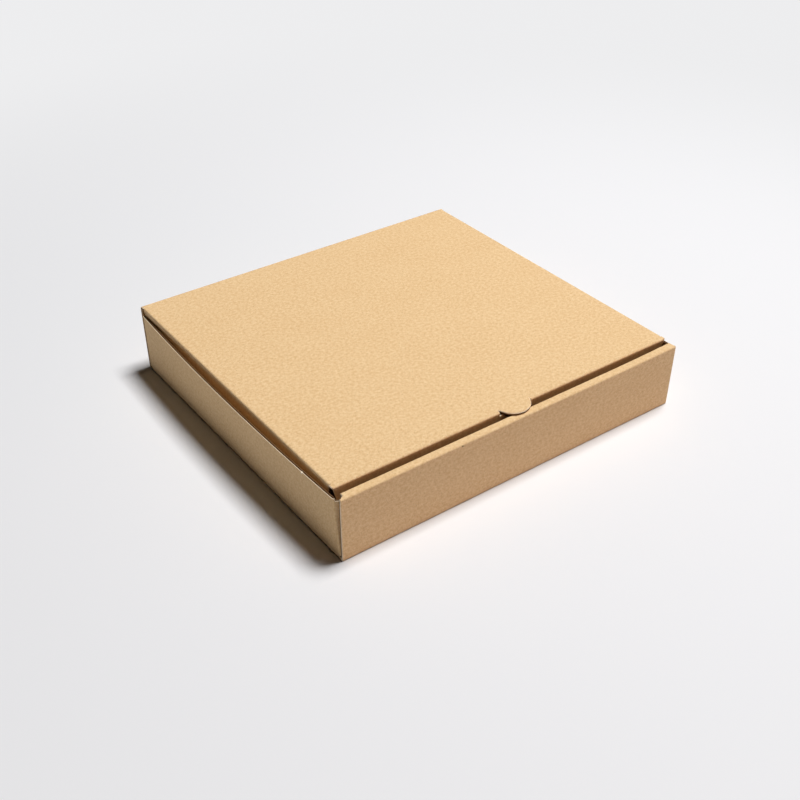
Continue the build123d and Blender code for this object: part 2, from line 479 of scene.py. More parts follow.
@dataclass
class Tray(FoldedSheet):
    """Base, front and rear walls, side walls with their corner flaps, and the rolled-in front panel.

    Sizes that come in pairs are those of the left and of the right side.
    """

    board: Board
    width: float = 0.254
    depth: float = 0.242
    front_width: float = 0.2536
    front_height: float = 0.0443
    front_lean: float = 0.001
    rear_width: float = 0.2532
    rear_height: float = 0.0478
    side_height: float = 0.043
    crease_top: float = 0.0025
    lean_front: Pair = (0.0018, 0.0009)
    lean_rear: Pair = (0.0006, 0.0006)
    bow: Pair = (0.003, 0.0012)
    front_flap_length: float = 0.070
    front_flap_top: float = 0.041
    rear_flap_length: float = 0.062
    rear_flap_top: float = 0.042
    flap_chamfer: float = 0.009
    ridge_taper: Pair = (0.003, 0.0005)
    ridge_flare: Pair = (0.0003422, 0.0)
    ridge_spring: Pair = (0.0001027, 0.0004791)
    ridge_rise: Pair = (0.0, 0.0004095)
    ridge_spring_start: float = 0.08
    inner_lift: float = 0.0006
    lock_tab_width: float = 0.038
    lock_tab_spread: float = 0.124
    lock_clearance: float = 0.0006
    lock_recess: float = 0.0003
    front_spring: float = 0.0026
    rear_spring: float = 0.0022
    spring_reach: float = 0.0065
    slit: float = 0.0001
    bow_steps: int = 24
    rise_steps: int = 6
    facing: Facing = Facing.BELOW
    blank: Blank = field(init=False)

    def __post_init__(self) -> None:
        """Work out the folded profiles and the blank from the sizes."""
        board = self.board
        slope = self.front_lean / self.front_height
        self.inner_face = 3 * board.thickness + 2 * board.layer_gap - self.depth / 2
        inner_foot = board.thickness + self.inner_lift
        half_depth, half = self.depth / 2, self.width / 2
        corners = [
            (self.inner_face - slope * inner_foot, inner_foot),
            (self.inner_face - self.front_lean, self.front_height),
            (-half_depth - self.front_lean, self.front_height),
            (-half_depth, 0.0),
            (half_depth, 0.0),
            (half_depth, self.rear_height),
            (0.0, self.rear_height),
        ]
        self.strip = Fold(corners, board, 1)
        self.base_start = self.strip.folds[2][1] + half_depth - board.crease_radius
        self.crease = Fold([(0.0, 0.0), (half, 0.0), (half, self.crease_top)], board, 1)
        self.crease_u, self.wall_u = self.crease.folds[0][0], self.crease.length
        self.top_u = self.wall_u + self.side_height - self.crease_top
        self.flap_face = half_depth - board.thickness - board.layer_gap
        self.flap_low = -self.flap_face - slope * self.crease_top
        self.flap_high = -self.flap_face - slope * self.side_height
        self.foot_path = self._wall_path(self.flap_low, 0.0, 0.0)
        leans = zip(self.lean_front, self.lean_rear)
        self.top_paths = [self._wall_path(self.flap_high, front, rear) for front, rear in leans]
        self.wall_start = self.foot_path.folds[0][1] + board.crease_radius - self.flap_low
        self.wall_marks = [mark - self.wall_start for mark in self.foot_path.marks]
        self.tab_in = (self.lock_tab_spread - self.lock_tab_width) / 2
        self.tab_out = self.tab_in + self.lock_tab_width
        self.blank = self._blank()

    def _wall_path(self, front_face: float, front: float, rear: float) -> Fold:
        """Fold a line round a side wall and its corner flaps at one height, seen from above.

        Args:
            front_face: Where the outer face of the front corner flap is at that height.
            front: How far the wall's front end stands out past the base.
            rear: How far its rear end does.

        Returns:
            The folded line, from the end of the front flap to that of the rear flap.
        """
        half, rear_face = self.width / 2, self.flap_face
        corners = [(half + front, front_face), (half + rear, rear_face)]
        ends = (half - self.front_flap_length, front_face), (half - self.rear_flap_length, rear_face)
        return Fold([ends[0], *corners, ends[1]], self.board, 1)

    def crushed(self, points: Array) -> Array:
        """Tell which points are at the ends of the front wall and its ridge."""
        return (points[:, 1] < self.flap_low) & (abs(points[:, 0]) < self.front_width / 2 + self.slit)

    def place(self, u: Array, v: Array, depth: Array) -> Array:
        """Fold points of the sheet, each as part of the strip, of a side crease or of a side wall."""
        radius, margin = self.board.crease_radius, self.slit / 2
        aside = (v < self.flap_face - radius + margin) & (v > self.flap_low + radius - margin)
        aside = (aside & (abs(u) > self.crease_u)) | (abs(u) > self.front_width / 2 + self.slit)
        upright = (aside & (abs(u) > self.wall_u - margin))[:, None]
        side = np.sign(u)
        strip, crease = self.strip.at(v + self.base_start, depth), self.crease.at(abs(u), depth)
        level = np.stack([u, strip[:, 0], strip[:, 1]], 1) + self._ridge_moves(u, v)
        turning = np.stack([side * crease[:, 0], v, crease[:, 1]], 1)
        along = v + self.wall_start
        share = (abs(u) - self.wall_u) / (self.side_height - self.crease_top)
        marks, foot = self.foot_path.marks, self.foot_path.at(along, depth)
        tops = [path.at(np.interp(along, marks, path.marks), depth) for path in self.top_paths]
        top = np.where(side[:, None] < 0, *tops)
        bow = np.where(side < 0, *self.bow) * share * np.clip(1 - (v / self.flap_face) ** 2, 0, None)
        across = foot[:, 0] + (top[:, 0] - foot[:, 0]) * share + bow
        deep = foot[:, 1] + (top[:, 1] - foot[:, 1]) * share + self._sprung(along, share)
        height = self.crease_top + (self.side_height - self.crease_top) * share
        wall = np.stack([side * across, deep, height], 1)
        return np.where(upright, wall, np.where(aside[:, None], turning, level))

    def _ridge_moves(self, u: Array, v: Array) -> Array:
        """Return how far the ends of the ridge have spread, sprung back from the front wall and risen."""
        along = v + self.base_start
        (_, inner_in), (front_out, front_in), (foot, _) = self.strip.folds[:3]
        start = self.ridge_spring_start
        reach = np.clip((abs(u) - start) / (self.front_width / 2 - start), 0, 1)
        wide = np.interp(along, [inner_in, front_out, foot], [0.0, 1.0, 0.0]) * reach * reach
        near = np.interp(along, [0.0, inner_in, front_out], [0.0, 1.0, 0.0]) * reach * reach
        high = np.interp(along, [0.0, inner_in, front_in, foot], [0.0, 1.0, 1.0, 0.0]) * reach
        flare, spring, rise = [
            np.where(u < 0, *pair) for pair in (self.ridge_flare, self.ridge_spring, self.ridge_rise)
        ]
        return np.stack([np.sign(u) * wide * flare, near * spring, high * rise], 1)

    def _sprung(self, along: Array, share: Array) -> Array:
        """Return how far the folds at a side wall's ends have sprung back from the front and rear walls."""
        rise = np.sin(np.clip(share, 0, 1) * math.pi / 2)
        moves = np.zeros_like(along)
        for fold, spring in zip(self.foot_path.folds, (self.front_spring, -self.rear_spring)):
            near = np.clip(1 - abs(along - sum(fold) / 2) / self.spring_reach, 0, 1)
            moves += spring * rise * near * near * (3 - 2 * near)
        return moves

    def _blank(self) -> Blank:
        """Draw the die-cut outline, the lock slots and the lines along the folds."""
        left, right = [self._outline(taper) for taper in self.ridge_taper]
        slot_middle = self.inner_face - self.board.thickness / 2
        slot_half = self.board.thickness / 2 + self.lock_clearance
        low, high = slot_middle - slot_half, slot_middle + slot_half
        near, far = self.tab_in - self.lock_clearance, self.tab_out + self.lock_clearance
        slots = [[(u, low), (w, low), (w, high), (u, high)] for u, w in ((-near, -far), (near, far))]
        ridge_rows = steps_between(self.ridge_spring_start, self.front_width / 2, FOLD_STEPS)[:-1]
        folded = fold_rows(*self.crease.folds[0])
        edges = [*ridge_rows, *folded, self.wall_u, self.top_u]
        breaks = [-u for u in reversed(edges)] + edges
        outline = [*right, *[(-u, v) for u, v in reversed(left)]]
        return Blank(outline, slots, self._lines(ridge_rows, folded), breaks)

    def _outline(self, taper: float) -> Loop:
        """Draw the right half of the die-cut outline.

        Args:
            taper: How far the ridge's inner edge and the inner panel end short of the front wall.

        Returns:
            The outline's points, from the rear to the inner end of the lock tab.
        """
        front_end, front_trim, wall_front, wall_rear, rear_trim, rear_end = self.wall_marks
        (_, inner_in), (_, front_in), *_, hinge = self.strip.folds
        start, foot_run = self.base_start, self.board.thickness
        wall_u, crease_u, chamfer, slit = self.wall_u, self.crease_u, self.flap_chamfer, self.slit
        front_top = wall_u + self.front_flap_top - self.crease_top
        rear_top = wall_u + self.rear_flap_top - self.crease_top
        half_front, half_rear = self.front_width / 2, self.rear_width / 2
        tab_end = -start - (self.board.thickness + self.inner_lift - self.lock_recess)
        return [
            (half_rear, sum(hinge) / 2 - start - self.board.crease_gap / 2),
            (half_rear, wall_rear + slit),
            (crease_u, wall_rear),
            (wall_u, wall_rear - slit),
            (wall_u, rear_end - chamfer / 2),
            (wall_u + chamfer / 2, rear_end),
            (rear_top - chamfer, rear_end),
            (rear_top, rear_end - chamfer),
            (rear_top, rear_trim),
            (self.top_u, rear_trim),
            (self.top_u, front_trim),
            (front_top, front_trim),
            (front_top, front_end + chamfer),
            (front_top - chamfer, front_end),
            (wall_u + chamfer / 2, front_end),
            (wall_u, front_end + chamfer / 2),
            (wall_u, wall_front + slit),
            (crease_u, wall_front),
            (half_front, wall_front - slit),
            (half_front, front_in - start - foot_run),
            (half_front - taper, inner_in - start + foot_run),
            (half_front - taper, -start),
            (self.tab_out, -start),
            (self.tab_out, tab_end),
            (self.tab_in, tab_end),
            (self.tab_in, -start),
        ]

    def _lines(self, ridge_rows: list[float], folded: list[float]) -> list[tuple[Pair, Pair]]:
        """Draw the lines along the folds and over what bows or springs.

        Args:
            ridge_rows: Places of the lines over the ends of the ridge, from the middle outwards.
            folded: Places of the lines along a side crease.

        Returns:
            Both ends of each line.
        """
        front_end, front_trim, wall_front, wall_rear, rear_trim, rear_end = self.wall_marks
        start, wall_u, half_front = self.base_start, self.wall_u, self.front_width / 2
        front_in, base_front = self.strip.folds[1][1], self.strip.folds[2][0]
        level = [v for low, high in self.strip.folds for v in fold_rows(low - start, high - start)]
        level += steps_between(-start, front_in - start, FOLD_STEPS)
        upright = steps_between(wall_front, wall_rear, self.bow_steps)[1:-1]
        upright += [*fold_rows(front_trim, wall_front), *fold_rows(wall_rear, rear_trim)]
        for fold, way in ((front_trim, -1), (rear_trim, 1), (wall_front, 1), (wall_rear, -1)):
            upright += [fold + way * run for run in steps_between(0.0, self.spring_reach, FOLD_STEPS)[1:]]
        lines = [((-half_front, v), (half_front, v)) for v in level]
        for u in ridge_rows:
            lines += [((side * u, -start), (side * u, base_front - start)) for side in (-1, 1)]
        rise = steps_between(wall_u, self.top_u, self.rise_steps)
        for side in (-1, 1):
            lines += [((side * u, wall_front), (side * u, wall_rear)) for u in folded]
            lines.append(((side * wall_u, front_trim), (side * wall_u, rear_trim)))
            lines += [((side * wall_u, v), (side * self.top_u, v)) for v in upright]
            lines += [((side * u, front_end), (side * u, rear_end)) for u in rise]
        return lines


@dataclass
class Lid(FoldedSheet):
    """Top panel with its front tuck flap, side dust flaps and half-round thumb tab."""

    board: Board
    tray: Tray
    width: float = 0.2524
    front_gap: float = 0.0034
    tuck_width: float = 0.251
    tuck_height: float = 0.036
    tuck_lean: float = math.radians(2)
    tuck_taper: float = 0.009
    dust_height: float = 0.035
    dust_lean: float = math.radians(4)
    dust_front_setback: float = 0.0036
    dust_rear_setback: float = 0.0025
    dust_taper: float = 0.011
    flap_corner_radius: float = 0.005
    thumb_radius: float = 0.0115
    thumb_reach: float = 0.0068
    thumb_offset: float = 0.0018
    thumb_clearance: float = 0.0005
    thumb_slits: Pair = (0.0018, 0.0006)
    thumb_slit_drop: float = 0.0012
    thumb_slit_depth: float = 0.002
    thumb_steps: int = 28
    kerf: float = 0.00005
    slit: float = 0.0001
    facing: Facing = Facing.ABOVE
    blank: Blank = field(init=False)

    def __post_init__(self) -> None:
        """Work out the folded profiles, the hinge line and the blank from the sizes."""
        tray, radius = self.tray, self.board.crease_radius
        self.top = radius * (1 - math.cos(math.radians(45)))
        self.hinge_y, self.hinge_z = tray.depth / 2 - self.top, tray.rear_height - self.top
        self.reach = self.hinge_y - (tray.inner_face - tray.front_lean + self.front_gap)
        fall = tray.rear_height - self.board.thickness - tray.front_height - self.thumb_clearance
        self.tilt = math.asin(fall / (self.reach + self.thumb_reach))
        self.thumb_back = self.thumb_radius - self.thumb_reach
        tuck_run = self.tuck_height * math.tan(self.tuck_lean)
        dust_run = self.dust_height * math.tan(self.dust_lean)
        corners = [
            (-self.reach + tuck_run, self.top - self.tuck_height),
            (-self.reach, self.top),
            (self.top, self.top),
            (self.top, -self.reach),
        ]
        self.strip = Fold(corners, self.board, -1)
        fold_start, fold_end = self.strip.folds[0]
        trim = radius * math.tan((fold_end - fold_start) / radius / 2)
        self.top_start = fold_end + self.reach - trim
        half, dust_low = self.width / 2, self.top - self.dust_height
        self.dust = Fold([(0.0, self.top), (half, self.top), (half - dust_run, dust_low)], self.board, -1)
        self.blank = self._blank()

    def crushed(self, points: Array) -> Array:
        """Tell that every edge of the lid is crushed."""
        return np.ones(len(points), bool)

    def place(self, u: Array, v: Array, depth: Array) -> Array:
        """Fold points of the sheet, each as part of the strip, of a dust flap or of the thumb tab."""
        front, rear = self.dust_front_setback - self.reach, -self.dust_rear_setback
        folded = (abs(u) > self.dust.folds[0][0]) & (v > front - self.slit / 2) & (v < rear + self.slit / 2)
        from_thumb = np.hypot(u - self.thumb_offset, v - self.thumb_back + self.reach)
        tab = (from_thumb < self.thumb_radius + self.kerf / 2) & (v < self.thumb_slit_depth - self.reach)
        strip, dust = self.strip.at(v + self.top_start, depth), self.dust.at(abs(u), depth)
        level = np.stack([u, strip[:, 0], strip[:, 1]], 1)
        turning = np.stack([np.sign(u) * dust[:, 0], v, dust[:, 1]], 1)
        flat = np.stack([u, v, self.top - depth * self.board.thickness], 1)
        points = np.where(tab[:, None], flat, np.where(folded[:, None], turning, level))
        turn = np.array(Matrix.Rotation(self.tilt, 3, "X"))
        return points @ turn.T + (0.0, self.hinge_y, self.hinge_z)

    def _blank(self) -> Blank:
        """Draw the die-cut outline, the cut round the thumb tab and the lines along the folds."""
        start = self.top_start
        tuck_fold, rear_fold = [(low - start, high - start) for low, high in self.strip.folds]
        tuck_end = -start
        half, half_tuck = self.width / 2, self.tuck_width / 2
        crease_u, dust_u = self.dust.folds[0][0], self.dust.length
        front, rear = self.dust_front_setback - self.reach, -self.dust_rear_setback
        radius = self.flap_corner_radius
        right = [
            (half, sum(rear_fold) / 2 - self.board.crease_gap / 2),
            (half, rear + self.slit),
            (crease_u, rear),
            (dust_u, rear - self.dust_taper, radius),
            (dust_u, front + self.dust_taper, radius),
            (crease_u, front),
            (half, front - self.slit),
            (half, tuck_fold[0] + self.board.crease_radius / 2),
            (half_tuck, tuck_fold[0]),
            (half_tuck - self.tuck_taper, tuck_end, radius),
        ]
        left = [(-corner[0], *corner[1:]) for corner in reversed(right)]
        lines = [((-half, v), (half, v)) for fold in (tuck_fold, rear_fold) for v in fold_rows(*fold)]
        folded = fold_rows(*self.dust.folds[0])
        for side in (-1, 1):
            lines += [((side * u, front), (side * u, rear)) for u in folded]
        edges = [*folded, dust_u]
        breaks = [-u for u in reversed(edges)] + edges
        return Blank(rounded([*right, *left]), [self._thumb_cut(tuck_fold)], lines, breaks)

    def _thumb_cut(self, tuck_fold: Pair) -> Loop:
        """Draw the narrow cut that frees the thumb tab from the tuck flap, with a slit at each root.

        Args:
            tuck_fold: Where the front fold ends and starts.

        Returns:
            The points of the cut, round its outer side and back along the tab.
        """
        middle_v, root_v = self.thumb_back - self.reach, self.thumb_slit_depth - self.reach

        def arc(radius: float, from_v: float, sense: int) -> Loop:
            """Draw an arc round the tab's middle that starts and ends at one place across the flutes."""
            half_turn = math.acos((middle_v - from_v) / radius)
            turns = [sense * turn for turn in steps_between(-half_turn, half_turn, self.thumb_steps)]
            middle_u = self.thumb_offset
            return [(middle_u + radius * math.sin(a), middle_v - radius * math.cos(a)) for a in turns]

        half_mouth = math.sqrt(self.thumb_radius**2 - self.thumb_back**2)
        foot_v = tuck_fold[0] - self.thumb_slit_drop
        outer = arc(self.thumb_radius + self.kerf, foot_v, 1)
        tab = arc(self.thumb_radius, root_v - self.kerf, -1)
        left, right = [
            self.thumb_offset + side * (half_mouth + slit) for side, slit in zip((-1, 1), self.thumb_slits)
        ]
        return [(left, root_v), (left, foot_v), *outer, (right, foot_v), (right, root_v), *tab]


@dataclass(frozen=True)
class Grain:
    """A layer of noise over the sheet.

    The cells are those in a metre along and across the flutes, turn is how far the layer is turned on the
    sheet, and detail the number of its finer layers.
    """

    cells: Pair
    turn: float = 0.0
    detail: float = 2.0


CLOUDS = Grain((25, 40))
MOTTLE = Grain((430, 560), detail=5)
LONG_FIBRES = Grain((2600, 420), turn=0.12)
CROSS_FIBRES = Grain((520, 2400), turn=0.45)
SLANT_FIBRES = Grain((2200, 460), turn=-0.7)
FLECKS = Grain((1500, 900), turn=0.3, detail=1)
PALE_EDGE = srgb(252, 234, 206)


@dataclass(frozen=True)
class Finish:
    """A paper finish: its colours and how strongly its fibres and flutes show."""

    name: str
    light: Colour
    dark: Colour
    speck: Colour
    worn: Colour = PALE_EDGE
    fibre_relief: float = 0.05
    flute_relief: float = 0.0
    roughness: float = 0.9

    SPECULAR = 0.25
    BUMP_DISTANCE = 0.001

    def material(self, groups: "PaperEffects") -> Material:
        """Build the material from the shared effects."""
        made = bpy.data.materials.new(self.name)
        made.use_nodes = True
        nodes = NodeTree(made.node_tree)
        shader = made.node_tree.nodes["Principled BSDF"]
        shader.inputs["Specular IOR Level"].default_value = self.SPECULAR
        sheet = nodes.add("ShaderNodeUVMap", uv_map=SHEET_LAYER)
        worn = nodes.add("ShaderNodeAttribute", attribute_name=WORN_LAYER)
        colours = {"Light": self.light, "Dark": self.dark, "Speck": self.speck, "Worn": self.worn}
        fibres = nodes.group(groups.fibres, Roughness=self.roughness, **colours)
        nodes.link(worn.outputs["Fac"], fibres.inputs["Wear"])
        nodes.link(sheet.outputs["UV"], fibres.inputs["Sheet"])
        relief = nodes.group(groups.relief, Fibres=self.fibre_relief, Flutes=self.flute_relief)
        nodes.link(sheet.outputs["UV"], relief.inputs["Sheet"])
        nodes.link(fibres.outputs["Height"], relief.inputs["Fibre Height"])
        bump = nodes.add("ShaderNodeBump")
        bump.inputs["Distance"].default_value = self.BUMP_DISTANCE
        bump.inputs["Strength"].default_value = 1.0
        nodes.link(relief.outputs["Height"], bump.inputs["Height"])
        nodes.link(fibres.outputs["Color"], shader.inputs["Base Color"])
        nodes.link(fibres.outputs["Roughness"], shader.inputs["Roughness"])
        nodes.link(bump.outputs["Normal"], shader.inputs["Normal"])
        return made


class NodeTree:
    """Adds and joins nodes in one tree."""

    COLOUR_MIX_INPUTS = (0, 6, 7)
    COLOUR_MIX_OUTPUT = 2

    def __init__(self, tree: bpy.types.NodeTree) -> None:
        """Keep the tree."""
        self.tree = tree

    def add(self, kind: str, **settings: object) -> Node:
        """Add a node of a kind and set its properties."""
        node = self.tree.nodes.new(kind)
        for name, value in settings.items():
            setattr(node, name, value)
        return node

    def group(self, group: bpy.types.NodeTree, **inputs: object) -> Node:
        """Add a group node and set its inputs."""
        node = self.add("ShaderNodeGroup", node_tree=group)
        for name, value in inputs.items():
            node.inputs[name].default_value = value
        return node

    def link(self, start: Socket, end: Socket) -> None:
        """Join two sockets."""
        self.tree.links.new(start, end)

    def sums(self, operation: str, first: object, second: object = None, third: object = None) -> Socket:
        """Add a Math node.

        Args:
            operation: What it works out, as Blender names it.
            first: A number or a socket.
            second: A number or a socket, where the operation takes one.
            third: A number or a socket, where the operation takes one.

        Returns:
            The result's socket.
        """
        node = self.add("ShaderNodeMath", operation=operation)
        for socket, value in zip(node.inputs, (first, second, third)):
            self.feed(socket, value)
        return node.outputs[0]

    def feed(self, socket: Socket, value: object) -> None:
        """Join a socket to another, or set its number."""
        if isinstance(value, Socket):
            self.link(value, socket)
        elif value is not None:
            socket.default_value = value

    def swing(self, value: Socket, amount: float, base: object) -> Socket:
        """Add an amount of a value's departure from its middle, one half, to a base."""
        return self.sums("MULTIPLY_ADD", self.sums("SUBTRACT", value, 0.5), amount, base)

    def mix(self, share: object, first: object, second: object) -> Socket:
        """Mix two colours by a share and return the mixed colour's socket."""
        node = self.add("ShaderNodeMix", data_type="RGBA")
        for number, value in zip(self.COLOUR_MIX_INPUTS, (share, first, second)):
            self.feed(node.inputs[number], value)
        return node.outputs[self.COLOUR_MIX_OUTPUT]

    def noise(self, sheet: Socket, grain: Grain) -> Socket:
        """Add a layer of noise over the sheet.

        Args:
            sheet: The socket of the place on the sheet, in metres.
            grain: The layer.

        Returns:
            The noise value's socket.
        """
        place = self.add("ShaderNodeMapping", vector_type="TEXTURE")
        place.inputs["Rotation"].default_value = (0.0, 0.0, grain.turn)
        place.inputs["Scale"].default_value = (1 / grain.cells[0], 1 / grain.cells[1], 1.0)
        self.link(sheet, place.inputs["Vector"])
        noise = self.add("ShaderNodeTexNoise", noise_dimensions="2D")
        noise.inputs["Scale"].default_value = 1.0
        noise.inputs["Detail"].default_value = grain.detail
        self.link(place.outputs["Vector"], noise.inputs["Vector"])
        return noise.outputs["Fac"]

    def between(self, value: Socket, low: float, high: float) -> Socket:
        """Turn a value that goes from low to high into one from 0 to 1, smoothly and held at both ends."""
        node = self.add("ShaderNodeMapRange", interpolation_type="SMOOTHSTEP")
        node.inputs["From Min"].default_value = low
        node.inputs["From Max"].default_value = high
        self.link(value, node.inputs["Value"])
        return node.outputs["Result"]


class PaperEffects:
    """The shader groups that every paper finish of the box shares."""

    CLOUD_TONE = 0.16
    MOTTLE_TONE = 1.1
    FIBRE_TONE = 0.55
    SPECK_RANGE = (0.67, 0.76)
    SPECK_SHARE = 0.35
    FRAY = 1.2
    FRAY_RANGE = (0.25, 0.8)
    FRAY_SHARE = 0.8
    ROUGHNESS_SPREAD = 0.2
    LONG_FIBRE_HEIGHT = 0.5
    CROSS_FIBRE_HEIGHT = 0.3
    MOTTLE_HEIGHT = 0.5

    def __init__(self, board: Board) -> None:
        """Build the groups once."""
        self.fibres = self._fibres()
        self.relief = self._relief(board)

    @staticmethod
    def _group(name: str, inputs: dict[str, str], outputs: dict[str, str]) -> tuple[NodeTree, Node, Node]:
        """Start a group.

        Args:
            name: The group's name.
            inputs: Name and kind of each input.
            outputs: Name and kind of each output.

        Returns:
            The tree, its input node and its output node.
        """
        tree = bpy.data.node_groups.new(name, "ShaderNodeTree")
        for sockets, way in ((inputs, "INPUT"), (outputs, "OUTPUT")):
            for socket, kind in sockets.items():
                tree.interface.new_socket(name=socket, in_out=way, socket_type=f"NodeSocket{kind}")
        nodes = NodeTree(tree)
        return nodes, nodes.add("NodeGroupInput"), nodes.add("NodeGroupOutput")

    def _fibres(self) -> bpy.types.NodeTree:
        """Build the kraft fibres: cloudy tone, fine mottling, long fibres and dark specks."""
        colours = {"Light": "Color", "Dark": "Color", "Speck": "Color", "Worn": "Color"}
        inputs = {"Sheet": "Vector", "Wear": "Float", "Roughness": "Float", **colours}
        outputs = {"Color": "Color", "Roughness": "Float", "Height": "Float"}
        nodes, given, result = self._group("kraft_fibres", inputs, outputs)
        sheet = given.outputs["Sheet"]
        clouds, mottle, long_fibres, cross_fibres, slant_fibres = [
            nodes.noise(sheet, grain) for grain in (CLOUDS, MOTTLE, LONG_FIBRES, CROSS_FIBRES, SLANT_FIBRES)
        ]
        tone = nodes.swing(mottle, self.MOTTLE_TONE, nodes.swing(clouds, self.CLOUD_TONE, 0.5))
        for fibres in (long_fibres, cross_fibres, slant_fibres):
            tone = nodes.swing(fibres, self.FIBRE_TONE, tone)
        plain = nodes.mix(nodes.between(tone, 0.0, 1.0), given.outputs["Dark"], given.outputs["Light"])
        speck = nodes.between(nodes.noise(sheet, FLECKS), *self.SPECK_RANGE)
        colour = nodes.mix(nodes.sums("MULTIPLY", speck, self.SPECK_SHARE), plain, given.outputs["Speck"])
        frayed = nodes.between(nodes.swing(cross_fibres, self.FRAY, given.outputs["Wear"]), *self.FRAY_RANGE)
        colour = nodes.mix(nodes.sums("MULTIPLY", frayed, self.FRAY_SHARE), colour, given.outputs["Worn"])
        nodes.link(colour, result.inputs["Color"])
        rough = nodes.swing(mottle, self.ROUGHNESS_SPREAD, given.outputs["Roughness"])
        nodes.link(rough, result.inputs["Roughness"])
        height = nodes.sums("MULTIPLY", cross_fibres, self.CROSS_FIBRE_HEIGHT)
        height = nodes.sums("MULTIPLY_ADD", long_fibres, self.LONG_FIBRE_HEIGHT, height)
        height = nodes.sums("MULTIPLY_ADD", mottle, self.MOTTLE_HEIGHT, height)
        nodes.link(height, result.inputs["Height"])
        return nodes.tree

    def _relief(self, board: Board) -> bpy.types.NodeTree:
        """Build the relief of the paper: its fibres, and the flutes that show through it."""
        inputs = {"Sheet": "Vector", "Fibre Height": "Float", "Fibres": "Float", "Flutes": "Float"}
        nodes, given, result = self._group("paper_relief", inputs, {"Height": "Float"})
        parts = nodes.add("ShaderNodeSeparateXYZ")
        nodes.link(given.outputs["Sheet"], parts.inputs[0])
        wave = nodes.sums("COSINE", nodes.sums("MULTIPLY", parts.outputs["Y"], 2 * math.pi / board.pitch))
        uneven = nodes.noise(given.outputs["Sheet"], CLOUDS)
        wave = nodes.sums("MULTIPLY", nodes.sums("MULTIPLY", wave, uneven), given.outputs["Flutes"])
        height = nodes.sums("MULTIPLY_ADD", given.outputs["Fibre Height"], given.outputs["Fibres"], wave)
        nodes.link(height, result.inputs["Height"])
        return nodes.tree


@dataclass
class PaperStack:
    """Turns a folded sheet into its two liners and its fluted middle."""

    board: Board
    outer: Material
    inner: Material
    fluted: Material
    cut: Material

    def build(self, name: str, sheet: FoldedSheet) -> list[Object]:
        """Build the three papers of one half of the sheet.

        Args:
            name: Start of the pieces' names, which is the body's name.
            sheet: The half of the sheet.

        Returns:
            The pieces, with the outer liner first.
        """
        panel, rows = sheet.blank.panel(), sheet.blank.rows(self.board)
        liner, medium = self.board.liner / self.board.thickness, self.board.medium / self.board.thickness
        crushed = np.where(sheet.crushed(panel.corners), sheet.blank.worn(panel.corners), 0.0)
        outer_near, outer_far = self.board.outer_crush * crushed, liner + self.board.outer_close * crushed
        inner_near, inner_far = 1 - liner - self.board.inner_close * crushed, np.ones(len(crushed))
        flutes = np.cos(2 * math.pi * rows.corners[:, 1] / self.board.pitch)
        middle = 0.5 + flutes * (0.5 - liner - medium / 2)
        return [
            sheet.paper(f"{name}_outer_liner", panel, outer_near, outer_far, self.outer, self.cut),
            sheet.paper(f"{name}_inner_liner", panel, inner_near, inner_far, self.inner, self.fluted),
            sheet.paper(f"{name}_flutes", rows, middle - medium / 2, middle + medium / 2, self.fluted),
        ]


@dataclass
class LidCrease:
    """The crease that the lid swings on: paper that bends between the tray and the lid."""

    board: Board
    tray: Tray
    lid: Lid
    overlap: float = 0.003
    proud: float = 0.02
    sunk: float = 0.1
    bend: float = 0.00014
    steps: int = 7

    def build(self, outer: Material, inner: Material) -> list[Object]:
        """Build the outer and the inner paper of the crease, running from the tray round to the lid."""
        tray, lid = self.tray, self.lid
        arc = steps_between(0.0, sum(tray.strip.folds[-1]) / 2 - tray.strip.folds[-1][0], self.steps)
        outside = self._strip("crease_outer_paper", [-self.overlap, *arc], -self.proud, self.sunk, outer)
        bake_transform(outside)
        bend = [-run for run in reversed(steps_between(0.0, self.bend, self.steps))]
        runs = [-self.overlap, *bend, arc[-1]]
        within = self._strip("crease_inner_paper", runs, 1 + self.proud, 1 - self.sunk, inner)
        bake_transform(within)
        return [outside, within]

    def _strip(self, name: str, runs: Sequence[float], near: float, far: float, finish: Material) -> Object:
        """Build a strip of paper that follows the tray up to the middle of the crease and then the lid.

        Args:
            name: The piece's name.
            runs: Places of its rows, from where the crease starts to its middle, the same on either side.
            near: Depth of its shown side within the board.
            far: Depth of its hidden side.
            finish: Its material.

        Returns:
            The new object.
        """
        tray_start = self.tray.strip.folds[-1][0] - self.tray.base_start
        lid_end = self.lid.strip.folds[-1][1] - self.lid.top_start
        half = self.lid.width / 2 - self.board.crease_radius / 4
        u = np.array([-half, half] * len(runs))
        tray_v = np.repeat([tray_start + run for run in runs], 2)
        lid_v = np.repeat([lid_end - run for run in reversed(runs[:-1])], 2)
        sheets = [(self.tray, u[: len(tray_v)], tray_v), (self.lid, u[: len(lid_v)], lid_v)]
        corners = []
        for depth in (near, far):
            corners += [sheet.place(across, v, np.full(len(v), depth)) for sheet, across, v in sheets]
        places = np.concatenate([np.stack([across, v], 1) for _, across, v in sheets])
        faces = [(row, row + 2, row + 3, row + 1) for row in range(0, len(places) - 2, 2)]
        turn = 1 if near > far else -1
        worn = np.zeros(len(places))
        return paper_shell(name, FlatMesh(places, faces), turn, np.concatenate(corners), worn, [finish])


